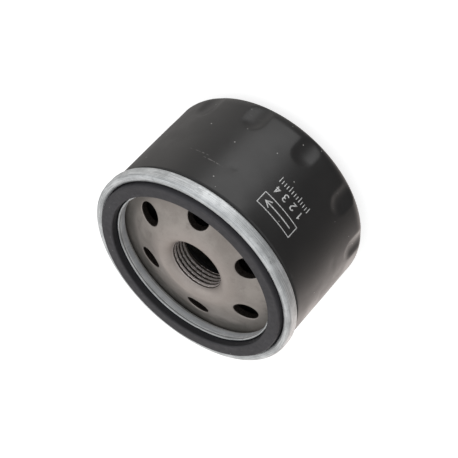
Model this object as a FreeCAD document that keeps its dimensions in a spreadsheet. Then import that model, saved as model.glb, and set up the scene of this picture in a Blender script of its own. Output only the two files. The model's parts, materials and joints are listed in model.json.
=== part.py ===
import FreeCAD, Part
import math
import os
import Sketcher

# A spin-on oil filter standing on its closed end, with the threaded end up. Millimetres.
# Z is the thread's axis. The origin is the centre of the face that the filter stands on.

DRIVING = [
    # the whole filter
    ("overall_height", 50.0, "resting plane to the free gasket's sealing face"),
    ("can_radius", 38.0, "outside of the can"),
    ("can_wall", 0.5, "sheet of the can"),
    # closed end of the can
    ("end_pad_radius", 24.0, "flat land that the can stands on"),
    ("end_slope_width", 4.0, "width of the slope round the land"),
    ("end_pad_height", 1.3, "how far the land stands proud of the end"),
    ("corner_radius", 6.1, "outside round between wall and closed end"),
    ("flute_count", 12, "wrench flutes round the closed end"),
    ("flute_radius", 9.0, "radius of a flute's hollow"),
    ("flute_depth", 1.0, "depth of a flute in the wall"),
    ("flute_top", 15.2, "top of the rounded flute above the resting plane"),
    ("flute_turn", 3.1, "angle of the first flute from X"),
    # double seam
    ("seam_proud", 0.9, "double seam outside the can's wall"),
    ("seam_drop", 1.2, "seam top below the sealing face"),
    ("seam_height", 4.7, "height of the double seam"),
    ("seam_gap", 0.05, "gap between two layers of the seam"),
    ("seam_bead_gap", 0.35, "room for sealant over the can's hook"),
    ("neck_rise", 1.0, "height over which the can necks in under the seam"),
    ("hook_clearance", 0.5, "end of each seam hook to the bend that it points into"),
    # seaming lid
    ("lid_gauge", 0.6, "sheet of the seaming lid"),
    ("lid_bend", 1.6, "inside bend radius of the gasket channel"),
    ("lip_radius", 30.0, "inside of the lid's inner lip"),
    ("lip_drop", 2.4, "lip top below the sealing face"),
    ("lip_edge_round", 0.2, "round on the lip's cut edge"),
    # sealing gasket
    ("gasket_height", 6.6, "height of the free gasket"),
    ("gasket_clearance", 0.35, "gasket to each wall of its channel"),
    ("gasket_seat_round", 1.7, "round on the gasket's two lower edges"),
    ("gasket_face_round", 0.6, "round on the sealing face's two edges"),
    # tapping plate
    ("plate_gauge", 2.5, "sheet of the tapping plate"),
    ("plate_proud", 0.1, "tapping plate's edge outside the channel's bore"),
    ("cone_foot_radius", 28.2, "where the plate's cone meets its flat rim"),
    ("cone_angle", 18.9, "slope of the cone in degrees"),
    ("mouth_round", 3.7, "round of the drawn mouth into the thread"),
    ("thread_radius", 10.0, "major radius of the M20 x 1.5 thread"),
    ("thread_pitch", 1.5, "pitch of the thread"),
    ("thread_bore", 9.5, "minor radius of the thread, opened up as drawn sheet is before tapping"),
    ("boss_length", 12.0, "sealing face to the lower end of the threaded boss"),
    ("boss_chamfer", 0.5, "chamfer at the lower end of the thread"),
    ("oil_hole_radius", 4.1, "each oil inlet hole"),
    ("oil_hole_count", 6, "oil inlet holes"),
    ("oil_hole_circle", 22.3, "radius of the circle of oil inlet holes"),
    ("weld_gap", 0.3, "weld projections' height between lid and plate"),
    ("weld_radius", 1.0, "each weld projection"),
    ("weld_count", 8, "weld projections"),
    # anti-drain-back diaphragm
    ("hub_height", 1.5, "rubber hub clamped under the boss"),
    ("hub_bore", 10.4, "opening through the hub"),
    ("hub_radius", 14.5, "outside of the hub"),
    ("collar_height", 1.6, "rubber collar up round the boss"),
    ("collar_wall", 1.2, "wall of the collar"),
    ("rubber_clearance", 0.3, "rubber to the steel that it is fitted round"),
    ("web_gauge", 1.0, "diaphragm's web"),
    ("web_radius", 27.0, "outside of the web"),
    ("web_drop", 0.1, "under face of the web's edge below the lip's foot"),
    ("lip_gap", 0.2, "split between web and lip"),
    ("lip_seat_width", 1.2, "flat of the lip against the plate"),
    ("lip_ring_radius", 31.0, "outside of the lip"),
    ("lip_height", 1.8, "height of the lip"),
    # filter element
    ("cap_gauge", 0.4, "sheet of the end caps"),
    ("cap_radius", 34.0, "outside of the end caps"),
    ("cap_rim", 3.0, "height of an end cap's rim"),
    ("cap_neck_height", 2.0, "neck of the upper cap up to the hub"),
    ("cap_neck_radius", 13.9, "outside of that neck"),
    ("cap_neck_bore", 11.0, "opening in the neck's top"),
    ("element_seat", 7.5, "lower end cap above the resting plane"),
    ("bypass_port", 6.5, "hole through the lower end cap"),
    ("bond_height", 1.5, "adhesive that the pleats stand in"),
    ("bond_clearance", 0.1, "adhesive to tube and rim"),
    ("tube_radius", 14.5, "outside of the centre tube"),
    ("tube_wall", 0.5, "sheet of the centre tube"),
    ("tube_hole_radius", 1.6, "each hole in the centre tube"),
    ("tube_hole_rows", 4, "holes up the centre tube"),
    ("tube_hole_columns", 8, "holes round the centre tube"),
    ("paper_gauge", 0.5, "filter paper"),
    ("pleat_count", 44, "pleats"),
    ("pleat_outer", 33.0, "middle of the paper at the outer folds"),
    ("pleat_inner", 15.1, "middle of the paper at the inner folds"),
    ("pleat_outer_fold", 1.0, "half width of an outer fold"),
    ("pleat_inner_fold", 0.55, "half width of an inner fold"),
    ("clip_gauge", 0.3, "sheet of the clip over the paper's joint"),
    ("clip_depth", 3.0, "legs of the clip"),
    ("clip_end_gap", 1.0, "clip's ends to the end caps' rims"),
    # bypass valve in the lower end cap
    ("seal_radius", 9.2, "outside of the bypass seal"),
    ("seal_height", 0.8, "height of the bypass seal"),
    ("seal_inset", 0.2, "seal's opening outside the port"),
    ("disc_radius", 8.6, "bypass disc"),
    ("disc_gauge", 0.8, "sheet of the bypass disc"),
    ("stem_radius", 1.5, "bypass stem"),
    ("stem_above_cage", 2.5, "stem above the cage's top at rest"),
    ("stem_clearance", 0.05, "running clearance round the stem in the cage"),
    ("stem_foot_radius", 3.0, "foot of the stem on the disc"),
    ("stem_foot_height", 0.8, "height of that foot"),
    ("cage_gauge", 0.4, "sheet of the bypass cage"),
    ("cage_radius", 10.4, "outside of the cage's wall"),
    ("cage_height", 11.6, "height of the cage"),
    ("cage_flange_radius", 13.5, "outside of the cage's foot"),
    ("window_count", 4, "windows round the cage"),
    ("window_width", 8.0, "width of a window in the cage"),
    ("window_foot", 2.6, "window's sill above the end cap"),
    ("window_height", 6.5, "height of a window"),
    ("spring_radius", 4.6, "bypass spring, middle of the wire"),
    ("spring_wire", 0.45, "radius of the spring's wire"),
    ("spring_turns", 5.0, "turns of the bypass spring"),
    # support spring at the closed end
    ("leaf_gauge", 0.5, "sheet of the support spring"),
    ("leaf_ring_bore", 8.0, "opening in the support spring"),
    ("leaf_ring_radius", 13.0, "outside of the support spring's ring"),
    ("leaf_count", 4, "legs of the support spring"),
    ("leaf_width", 8.0, "width of a leg"),
    ("leaf_knee_radius", 14.2, "where a leg bends down"),
    ("leaf_foot_radius", 20.0, "where a leg meets the can's end"),
    ("leaf_toe_radius", 23.0, "end of a leg"),
    ("leaf_root_radius", 10.0, "where a leg leaves the ring"),
]

# Values worked out from the driving ones, each a formula that the next ones can use.
WORKED = [
    # double seam, from outside in: lid, can hook, lid hook, can wall, lid
    ("seam_width", "3 * Sizes.lid_gauge + 2 * Sizes.can_wall + 4 * Sizes.seam_gap"),
    ("seam_radius", "Sizes.can_radius + Sizes.seam_proud"),
    ("chuck_radius", "seam_radius - seam_width"),
    ("chuck_outside", "chuck_radius + Sizes.lid_gauge"),
    ("neck_inside", "chuck_outside + Sizes.seam_gap"),
    ("neck_outside", "neck_inside + Sizes.can_wall"),
    ("lid_hook_inside", "neck_outside + Sizes.seam_gap"),
    ("lid_hook_outside", "lid_hook_inside + Sizes.lid_gauge"),
    ("can_hook_inside", "lid_hook_outside + Sizes.seam_gap"),
    ("can_hook_outside", "can_hook_inside + Sizes.can_wall"),
    ("panel_inside", "can_hook_outside + Sizes.seam_gap"),
    ("seam_middle", "chuck_radius + seam_width / 2"),
    ("seam_top", "Sizes.overall_height - Sizes.seam_drop"),
    ("seam_bottom", "seam_top - Sizes.seam_height"),
    ("seam_top_round", "seam_width / 2"),
    ("seam_top_bore", "seam_width / 2 - Sizes.lid_gauge"),
    ("seam_top_centre", "seam_top - seam_top_round"),
    ("seam_top_under", "seam_top - Sizes.lid_gauge"),
    ("foot_middle", "(lid_hook_inside + seam_radius) / 2"),
    ("foot_round", "(seam_radius - lid_hook_inside) / 2"),
    ("foot_centre", "seam_bottom + foot_round"),
    ("foot_floor", "seam_bottom + Sizes.lid_gauge"),
    ("hook_round", "(can_hook_outside - neck_inside) / 2"),
    ("hook_bore", "hook_round - Sizes.can_wall"),
    ("hook_top", "seam_top_under - Sizes.seam_bead_gap"),
    ("hook_centre", "hook_top - hook_round"),
    ("can_hook_end", "foot_floor + Sizes.hook_clearance"),
    ("lid_hook_end", "hook_top - Sizes.can_wall - Sizes.hook_clearance"),
    # bead of sealant over the can's hook, kept clear of the lid's curl
    ("bead_half", "hook_bore"),
    ("bead_inside", "seam_middle - bead_half"),
    ("bead_outside", "seam_middle + bead_half"),
    ("bead_top", "seam_top_centre + sqrt(seam_top_bore ^ 2 - bead_half ^ 2) - Sizes.seam_gap"),
    # neck of the can, kept at the can's gauge by shifting its inside down
    ("neck_in", "Sizes.can_radius - neck_outside"),
    ("neck_slant", "sqrt(neck_in ^ 2 + Sizes.neck_rise ^ 2)"),
    ("neck_shift", "Sizes.can_wall * (neck_slant - Sizes.neck_rise) / neck_in"),
    ("neck_top", "seam_bottom - Sizes.lid_gauge / 2"),
    ("neck_foot", "neck_top - Sizes.neck_rise"),
    ("rim_start", "neck_foot - 2 * Sizes.can_wall"),
    ("can_bore", "Sizes.can_radius - Sizes.can_wall"),
    # closed end
    ("corner_start", "Sizes.can_radius - Sizes.corner_radius"),
    ("corner_centre", "Sizes.end_pad_height + Sizes.corner_radius"),
    ("slope_end", "Sizes.end_pad_radius + Sizes.end_slope_width"),
    ("inner_end", "Sizes.end_pad_height + Sizes.can_wall"),
    ("flute_axis", "Sizes.can_radius - Sizes.flute_depth + Sizes.flute_radius"),
    ("flute_reach", "sqrt(Sizes.flute_radius ^ 2 - (flute_axis - Sizes.can_radius) ^ 2)"),
    ("flute_centre", "Sizes.flute_top - flute_reach"),
    ("flute_inner_radius", "Sizes.flute_radius + Sizes.can_wall"),
    # gasket channel
    ("lip_outside", "Sizes.lip_radius + Sizes.lid_gauge"),
    ("lip_top", "Sizes.overall_height - Sizes.lip_drop"),
    ("floor_top", "Sizes.overall_height - Sizes.gasket_height"),
    ("floor_under", "floor_top - Sizes.lid_gauge"),
    ("bend_centre", "floor_top + Sizes.lid_bend"),
    ("inner_bend_radius", "lip_outside + Sizes.lid_bend"),
    ("outer_bend_radius", "chuck_radius - Sizes.lid_bend"),
    ("gasket_inside", "lip_outside + Sizes.gasket_clearance"),
    ("gasket_outside", "chuck_radius - Sizes.gasket_clearance"),
    # tapping plate
    ("plate_radius", "chuck_radius + Sizes.plate_proud"),
    ("boss_radius", "Sizes.thread_bore + Sizes.plate_gauge"),
    ("boss_end", "Sizes.overall_height - Sizes.boss_length"),
    ("rim_top", "floor_under - Sizes.weld_gap"),
    ("rim_under", "rim_top - Sizes.plate_gauge"),
    ("cone_sin", "sin(Sizes.cone_angle)"),
    ("cone_cos", "cos(Sizes.cone_angle)"),
    ("cone_reach", "Sizes.cone_foot_radius * cone_sin + rim_top * cone_cos"),
    ("mouth_inner_round", "Sizes.mouth_round - Sizes.plate_gauge"),
    ("mouth_centre_r", "Sizes.thread_bore + Sizes.mouth_round"),
    ("mouth_centre_z", "(cone_reach - Sizes.mouth_round - mouth_centre_r * cone_sin) / cone_cos"),
    ("mouth_top_r", "mouth_centre_r + Sizes.mouth_round * cone_sin"),
    ("mouth_top_z", "mouth_centre_z + Sizes.mouth_round * cone_cos"),
    ("mouth_under_r", "mouth_centre_r + mouth_inner_round * cone_sin"),
    ("mouth_under_z", "mouth_centre_z + mouth_inner_round * cone_cos"),
    ("cone_under_r", "Sizes.cone_foot_radius - Sizes.plate_gauge * (1 - cone_cos) / cone_sin"),
    # the thread's groove: 60 degrees, an eighth of a pitch flat at its root, drawn past the bore
    ("groove_mouth", "Sizes.thread_bore - 0.1 * Sizes.thread_pitch"),
    ("groove_flat", "0.0625 * Sizes.thread_pitch"),
    ("groove_half", "groove_flat + (Sizes.thread_radius - groove_mouth) * tan(30)"),
    ("groove_start", "boss_end - Sizes.thread_pitch"),
    ("groove_length", "mouth_centre_z + Sizes.mouth_round - groove_start"),
    ("weld_circle", "(inner_bend_radius + outer_bend_radius) / 2"),
    # anti-drain-back diaphragm, clamped between the boss and the upper end cap
    ("hub_foot", "boss_end - Sizes.hub_height"),
    ("collar_inside", "boss_radius + Sizes.rubber_clearance"),
    ("collar_outside", "collar_inside + Sizes.collar_wall"),
    ("collar_top", "boss_end + Sizes.collar_height"),
    ("web_foot", "boss_end - Sizes.web_gauge"),
    ("lip_ring_under", "rim_under - Sizes.lip_height"),
    ("web_edge_under", "lip_ring_under - Sizes.web_drop"),
    ("web_edge_top", "web_edge_under + Sizes.web_gauge"),
    ("lip_inside", "Sizes.web_radius + Sizes.lip_gap"),
    ("lip_seat_inside", "Sizes.lip_ring_radius - Sizes.lip_seat_width"),
    # filter element
    ("cap_neck_under", "hub_foot - Sizes.cap_gauge"),
    ("upper_cap_top", "hub_foot - Sizes.cap_neck_height"),
    ("upper_cap_under", "upper_cap_top - Sizes.cap_gauge"),
    ("upper_rim_end", "upper_cap_top - Sizes.cap_rim"),
    ("lower_cap_top", "Sizes.element_seat + Sizes.cap_gauge"),
    ("lower_rim_end", "Sizes.element_seat + Sizes.cap_rim"),
    ("cap_bore", "Sizes.cap_radius - Sizes.cap_gauge"),
    ("cap_neck_inside", "Sizes.cap_neck_radius - Sizes.cap_gauge"),
    ("bond_inside", "Sizes.tube_radius + Sizes.bond_clearance"),
    ("bond_outside", "cap_bore - Sizes.bond_clearance"),
    ("paper_foot", "lower_cap_top + Sizes.bond_height"),
    ("paper_top", "upper_cap_under - Sizes.bond_height"),
    ("paper_height", "paper_top - paper_foot"),
    ("tube_bore", "Sizes.tube_radius - Sizes.tube_wall"),
    ("tube_hole_step", "paper_height / Sizes.tube_hole_rows"),
    # bypass valve
    ("seal_inside", "Sizes.bypass_port + Sizes.seal_inset"),
    ("disc_under", "lower_cap_top + Sizes.seal_height"),
    ("disc_top", "disc_under + Sizes.disc_gauge"),
    ("cage_top", "lower_cap_top + Sizes.cage_height"),
    ("cage_under", "cage_top - Sizes.cage_gauge"),
    ("cage_inside", "Sizes.cage_radius - Sizes.cage_gauge"),
    ("cage_foot_top", "lower_cap_top + Sizes.cage_gauge"),
    ("guide_radius", "Sizes.stem_radius + Sizes.stem_clearance"),
    ("stem_foot_top", "disc_top + Sizes.stem_foot_height"),
    ("stem_top", "cage_top + Sizes.stem_above_cage"),
    ("spring_foot", "disc_top + Sizes.spring_wire"),
    ("spring_length", "cage_under - disc_top - 2 * Sizes.spring_wire"),
    ("window_sill", "lower_cap_top + Sizes.window_foot"),
    ("window_top", "window_sill + Sizes.window_height"),
    # support spring
    ("leaf_ring_under", "Sizes.element_seat - Sizes.leaf_gauge"),
    ("leaf_foot_top", "Sizes.can_wall + Sizes.leaf_gauge"),
    ("leaf_run", "Sizes.leaf_foot_radius - Sizes.leaf_knee_radius"),
    ("leaf_drop", "leaf_ring_under - Sizes.can_wall"),
    ("leaf_slant", "sqrt(leaf_run ^ 2 + leaf_drop ^ 2)"),
    ("leaf_shift", "Sizes.leaf_gauge * (leaf_slant - leaf_run) / leaf_drop"),
]

doc = FreeCAD.newDocument("OilFilter")
sizes = doc.addObject("Spreadsheet::Sheet", "Sizes")
places = doc.addObject("Spreadsheet::Sheet", "Places")
pieces = []


def fill_sheets():
    """Writes the driving sizes as plain numbers and the worked ones as formulas."""
    for row, (alias, number, note) in enumerate(DRIVING, start=1):
        sizes.set("A%d" % row, note)
        sizes.set("B%d" % row, str(number))
        sizes.setAlias("B%d" % row, alias)
    doc.recompute()
    for row, (alias, formula) in enumerate(WORKED, start=1):
        places.set("B%d" % row, "=" + formula)
        places.setAlias("B%d" % row, alias)
        doc.recompute([places])


DRIVING_NAMES = [row[0] for row in DRIVING]


def cell(word):
    """The full name of a sheet's value, or a plain number as it is."""
    if word in DRIVING_NAMES:
        return "Sizes." + word
    if word[0].isdigit():
        return word
    return "Places." + word


def bound(sum_of_words):
    """An expression for a sum such as 'lip_top - lip_edge_round'."""
    return " ".join(w if w in "+-" else cell(w) for w in sum_of_words.split())


def value(sum_of_words):
    """The number that such a sum has now."""
    total = 0.0
    sign = 1
    for word in sum_of_words.split():
        if word in "+-":
            sign = 1 if word == "+" else -1
        elif word[0].isdigit():
            total += sign * float(word)
        else:
            sheet = sizes if word in DRIVING_NAMES else places
            total += sign * float(sheet.get(word))
    return total


def moved(place, way, distance):
    """A point (r, z), as two sums, moved by a named distance along '+r', '-r', '+z' or '-z'."""
    radius, height = place
    step = " %s %s" % (way[0], distance)
    return (radius + step, height) if way[1] == "r" else (radius, height + step)


def corner(radius, height, rounding, before, after):
    """The two points and the arc of a rounded right-angled corner, given the ways in and out."""
    back = ("-" if before[0] == "+" else "+") + before[1]
    start = moved((radius, height), back, rounding)
    end = moved((radius, height), after, rounding)
    centre = moved(start, after, rounding)
    return [start, end + centre]


def origin_plane(body, role):
    return [f for f in body.Origin.OriginFeatures if f.Role == role][0]


def held(sketch, kind, geometry, point, words):
    """Fixes one coordinate of a sketch point to a sum of named values."""
    across = kind == "DistanceX"
    if words == "0":
        axis = -2 if across else -1
        sketch.addConstraint(Sketcher.Constraint("PointOnObject", geometry, point, axis))
        return
    rule = Sketcher.Constraint(kind, -1, 1, geometry, point, value(words))
    number = sketch.addConstraint(rule)
    sketch.setExpression("Constraints[%d]" % number, bound(words))


def edge_between(start, end, arc_centre):
    """A sketch line, or the shorter arc about a centre, with the ends that it starts and stops at."""
    here = FreeCAD.Vector(value(start[0]), value(start[1]), 0)
    there = FreeCAD.Vector(value(end[0]), value(end[1]), 0)
    if arc_centre is None:
        return Part.LineSegment(here, there), 1, 2
    middle = FreeCAD.Vector(value(arc_centre[0]), value(arc_centre[1]), 0)
    first = here - middle
    last = there - middle
    circle = Part.Circle(middle, FreeCAD.Vector(0, 0, 1), first.Length)
    angles = math.atan2(first.y, first.x), math.atan2(last.y, last.x)
    if first.cross(last).z > 0:
        return Part.ArcOfCircle(circle, angles[0], angles[1]), 1, 2
    return Part.ArcOfCircle(circle, angles[1], angles[0]), 2, 1


def outline(body, name, points, role="XZ_Plane"):
    """A closed sketch through points given as sums: (r, z) after a line, (r, z, r, z) after an arc."""
    sketch = body.newObject("Sketcher::SketchObject", name)
    sketch.AttachmentSupport = (origin_plane(body, role), [""])
    sketch.MapMode = "FlatFace"
    count = len(points)
    ends = []
    for number, point in enumerate(points):
        centre = point[2:] if len(point) == 4 else None
        edge, first, last = edge_between(points[number - 1][:2], point[:2], centre)
        sketch.addGeometry(edge, False)
        ends.append((first, last))
    for number, point in enumerate(points):
        after = (number + 1) % count
        rule = Sketcher.Constraint("Coincident", number, ends[number][1], after, ends[after][0])
        sketch.addConstraint(rule)
        held(sketch, "DistanceX", number, ends[number][1], point[0])
        held(sketch, "DistanceY", number, ends[number][1], point[1])
    for number, point in enumerate(points):
        if len(point) == 4:
            run = abs(value(point[0]) - value(points[number - 1][0]))
            rise = abs(value(point[1]) - value(points[number - 1][1]))
            if rise >= run:
                held(sketch, "DistanceX", number, 3, point[2])
            else:
                held(sketch, "DistanceY", number, 3, point[3])
    sketch.Visibility = False
    return sketch


def circles(body, name, centres, radius, role="XY_Plane"):
    """A sketch of equal circles at points given as sums."""
    sketch = body.newObject("Sketcher::SketchObject", name)
    sketch.AttachmentSupport = (origin_plane(body, role), [""])
    sketch.MapMode = "FlatFace"
    for number, (across, up) in enumerate(centres):
        middle = FreeCAD.Vector(value(across), value(up), 0)
        sketch.addGeometry(Part.Circle(middle, FreeCAD.Vector(0, 0, 1), value(radius)), False)
        held(sketch, "DistanceX", number, 3, across)
        held(sketch, "DistanceY", number, 3, up)
        rule = Sketcher.Constraint("Radius", number, value(radius))
        index = sketch.addConstraint(rule)
        sketch.setExpression("Constraints[%d]" % index, bound(radius))
    sketch.Visibility = False
    return sketch


def new_body(name):
    body = doc.addObject("PartDesign::Body", name)
    body.Label = name
    return body


def turned(name, points):
    """A body turned about Z from an outline of radius and height."""
    body = new_body(name)
    sketch = outline(body, name + "_outline", points)
    turn = body.newObject("PartDesign::Revolution", name + "_turn")
    turn.Profile = sketch
    turn.ReferenceAxis = (sketch, ["V_Axis"])
    turn.Angle = 360.0
    doc.recompute()
    return body


def repeated(body, name, features, count):
    """A polar pattern of features about Z, which becomes the body's tip."""
    pattern = body.newObject("PartDesign::PolarPattern", name)
    pattern.Originals = features
    axis = [f for f in body.Origin.OriginFeatures if f.Role == "Z_Axis"][0]
    pattern.Axis = (axis, [""])
    pattern.Angle = 360.0
    pattern.Occurrences = int(value(count))
    pattern.setExpression("Occurrences", bound(count))
    body.Tip = pattern
    doc.recompute()
    return pattern


def must_cut(body, before, what):
    if body.Shape.Volume > before - 1e-6:
        raise RuntimeError("%s removed nothing from %s" % (what, body.Label))


def keep(piece, name):
    piece.Label = name
    pieces.append(piece)
    return piece


def can_block(name, points, hollow):
    """A filled form of the can with its flutes, of which the can is one less another."""
    body = turned(name, points)
    before = body.Shape.Volume
    sketch = outline(body, name + "_flute", [
        ("flute_axis", "0"),
        ("flute_axis", "flute_centre + " + hollow),
        ("flute_axis - " + hollow, "flute_centre", "flute_axis", "flute_centre"),
        ("flute_axis - " + hollow, "0"),
    ])
    foot = FreeCAD.Vector(value("flute_axis"), 0, 0)
    head = FreeCAD.Vector(value("flute_axis"), value("flute_centre"), 0)
    line = sketch.addGeometry(Part.LineSegment(foot, head), True)
    held(sketch, "DistanceX", line, 1, "flute_axis")
    held(sketch, "DistanceX", line, 2, "flute_axis")
    held(sketch, "DistanceY", line, 1, "0")
    held(sketch, "DistanceY", line, 2, "flute_centre")
    groove = body.newObject("PartDesign::Groove", name + "_groove")
    groove.Profile = sketch
    groove.ReferenceAxis = (sketch, ["Axis0"])
    groove.Angle = 360.0
    doc.recompute()
    must_cut(body, before, "the flute")
    repeated(body, name + "_flutes", [groove], "flute_count")
    body.setExpression("Placement.Rotation.Angle", "Sizes.flute_turn * 1 deg")
    return body


def make_can():
    """Drawn can: closed end with a standing land, twelve pressed flutes, and the hook of the seam."""
    outside = can_block("can_outside", [
        ("0", "0"),
        ("end_pad_radius", "0"),
        ("slope_end", "end_pad_height"),
        ("corner_start", "end_pad_height"),
        ("can_radius", "corner_centre", "corner_start", "corner_centre"),
        ("can_radius", "rim_start"),
        ("0", "rim_start"),
    ], "flute_radius")
    inside = can_block("can_inside", [
        ("0", "can_wall"),
        ("end_pad_radius", "can_wall"),
        ("slope_end", "inner_end"),
        ("corner_start", "inner_end"),
        ("can_bore", "corner_centre", "corner_start", "corner_centre"),
        ("can_bore", "rim_start"),
        ("0", "rim_start"),
    ], "flute_inner_radius")
    cup = doc.addObject("Part::Cut", "can_cup")
    cup.Base = outside
    cup.Tool = inside
    rim = turned("can_rim", [
        ("can_radius", "rim_start"),
        ("can_radius", "neck_foot"),
        ("neck_outside", "neck_top"),
        ("neck_outside", "hook_centre"),
        ("seam_middle", "hook_centre + hook_bore", "seam_middle", "hook_centre"),
        ("can_hook_inside", "hook_centre", "seam_middle", "hook_centre"),
        ("can_hook_inside", "can_hook_end"),
        ("can_hook_outside", "can_hook_end"),
        ("can_hook_outside", "hook_centre"),
        ("seam_middle", "hook_top", "seam_middle", "hook_centre"),
        ("neck_inside", "hook_centre", "seam_middle", "hook_centre"),
        ("neck_inside", "neck_top - neck_shift"),
        ("can_bore", "neck_foot - neck_shift"),
        ("can_bore", "rim_start"),
    ])
    can = doc.addObject("Part::MultiFuse", "can")
    can.Shapes = [cup, rim]
    can.Refine = True
    keep(can, "can_shell")


def make_lid():
    """Zinc-plated seaming lid: gasket channel, inner lip, and the outer layers of the double seam."""
    keep(turned("lid", [
        ("lip_radius", "bend_centre"),
        ("inner_bend_radius", "floor_under", "inner_bend_radius", "bend_centre"),
        ("outer_bend_radius", "floor_under"),
        ("chuck_outside", "bend_centre", "outer_bend_radius", "bend_centre"),
        ("chuck_outside", "seam_top_centre"),
        ("seam_middle", "seam_top_under", "seam_middle", "seam_top_centre"),
        ("panel_inside", "seam_top_centre", "seam_middle", "seam_top_centre"),
        ("panel_inside", "foot_centre"),
        ("foot_middle", "foot_floor", "foot_middle", "foot_centre"),
        ("lid_hook_outside", "foot_centre", "foot_middle", "foot_centre"),
        ("lid_hook_outside", "lid_hook_end"),
        ("lid_hook_inside", "lid_hook_end"),
        ("lid_hook_inside", "foot_centre"),
        ("foot_middle", "seam_bottom", "foot_middle", "foot_centre"),
        ("seam_radius", "foot_centre", "foot_middle", "foot_centre"),
        ("seam_radius", "seam_top_centre"),
        ("seam_middle", "seam_top", "seam_middle", "seam_top_centre"),
        ("chuck_radius", "seam_top_centre", "seam_middle", "seam_top_centre"),
        ("chuck_radius", "bend_centre"),
        ("outer_bend_radius", "floor_top", "outer_bend_radius", "bend_centre"),
        ("inner_bend_radius", "floor_top"),
        ("lip_outside", "bend_centre", "inner_bend_radius", "bend_centre"),
    ] + corner("lip_outside", "lip_top", "lip_edge_round", "+z", "-r")
        + corner("lip_radius", "lip_top", "lip_edge_round", "-r", "-z")), "seaming_lid")


def make_seam_sealant():
    """Bead of lining compound between the lid's curl and the can's hook."""
    keep(ring("sealant", "bead_inside", "bead_outside", "hook_top", "bead_top"), "seam_sealant")


def ring(name, inside, outside, foot, top):
    """A plain ring of rectangular section."""
    return turned(name, [(inside, foot), (outside, foot), (outside, top), (inside, top)])


def make_gasket():
    """Square-cut sealing gasket in the lid's channel."""
    points = corner("gasket_inside", "floor_top", "gasket_seat_round", "-z", "+r")
    points += corner("gasket_outside", "floor_top", "gasket_seat_round", "+r", "+z")
    points += corner("gasket_outside", "overall_height", "gasket_face_round", "+z", "-r")
    points += corner("gasket_inside", "overall_height", "gasket_face_round", "-r", "-z")
    keep(turned("gasket", points), "sealing_gasket")


def make_plate():
    """Conical tapping plate with a drawn threaded boss and a ring of oil inlet holes."""
    body = turned("plate", [
        ("plate_radius", "rim_top"),
        ("cone_foot_radius", "rim_top"),
        ("mouth_top_r", "mouth_top_z"),
        ("mouth_centre_r", "mouth_centre_z + mouth_round", "mouth_centre_r", "mouth_centre_z"),
        ("thread_bore", "mouth_centre_z", "mouth_centre_r", "mouth_centre_z"),
        ("thread_bore", "boss_end + boss_chamfer"),
        ("thread_bore + boss_chamfer", "boss_end"),
        ("boss_radius", "boss_end"),
        ("boss_radius", "mouth_centre_z"),
        ("mouth_under_r", "mouth_under_z", "mouth_centre_r", "mouth_centre_z"),
        ("cone_under_r", "rim_under"),
        ("plate_radius", "rim_under"),
    ])
    before = body.Shape.Volume
    sketch = circles(body, "oil_hole_circle_sketch", [("oil_hole_circle", "0")], "oil_hole_radius")
    holes = body.newObject("PartDesign::Pocket", "oil_hole")
    holes.Profile = sketch
    holes.Type = "ThroughAll"
    holes.Midplane = True
    doc.recompute()
    must_cut(body, before, "the oil hole")
    repeated(body, "oil_holes", [holes], "oil_hole_count")
    before = body.Shape.Volume
    profile = outline(body, "thread_groove_outline", [
        ("groove_mouth", "groove_start - groove_half"),
        ("thread_radius", "groove_start - groove_flat"),
        ("thread_radius", "groove_start + groove_flat"),
        ("groove_mouth", "groove_start + groove_half"),
    ])
    thread = body.newObject("PartDesign::SubtractiveHelix", "thread_groove")
    thread.Profile = profile
    thread.ReferenceAxis = (profile, ["V_Axis"])
    thread.Mode = "pitch-height-angle"
    thread.setExpression("Pitch", bound("thread_pitch"))
    thread.setExpression("Height", bound("groove_length"))
    thread.Angle = 0.0
    thread.LeftHanded = False
    thread.Reversed = False
    doc.recompute()
    must_cut(body, before, "the thread")
    keep(body, "tapping_plate")


def make_welds():
    """Weld projections that join the lid's floor to the plate's rim."""
    body = new_body("welds")
    body.AllowCompound = True
    sketch = circles(body, "weld_sketch", [("weld_circle", "0")], "weld_radius")
    sketch.setExpression("AttachmentOffset.Base.z", bound("rim_top"))
    pad = body.newObject("PartDesign::Pad", "weld")
    pad.Profile = sketch
    pad.setExpression("Length", bound("weld_gap"))
    doc.recompute()
    repeated(body, "weld_pattern", [pad], "weld_count")
    keep(body, "weld_projections")


def make_drainback():
    """Rubber anti-drain-back diaphragm: hub, collar and web, and its sealing lip apart."""
    keep(turned("diaphragm", [
        ("hub_bore", "hub_foot"),
        ("hub_radius", "hub_foot"),
        ("hub_radius", "web_foot"),
        ("web_radius", "web_edge_under"),
        ("web_radius", "web_edge_top"),
        ("hub_radius", "boss_end"),
        ("collar_outside", "boss_end"),
        ("collar_outside", "collar_top"),
        ("collar_inside", "collar_top"),
        ("collar_inside", "boss_end"),
        ("hub_bore", "boss_end"),
    ]), "drainback_diaphragm")
    keep(turned("lip_ring", [
        ("lip_inside", "lip_ring_under"),
        ("lip_seat_inside", "lip_ring_under"),
        ("lip_ring_radius", "rim_under - web_gauge"),
        ("lip_ring_radius", "rim_under"),
        ("lip_seat_inside", "rim_under"),
        ("lip_inside", "lip_ring_under + web_gauge"),
    ]), "drainback_lip")


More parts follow.
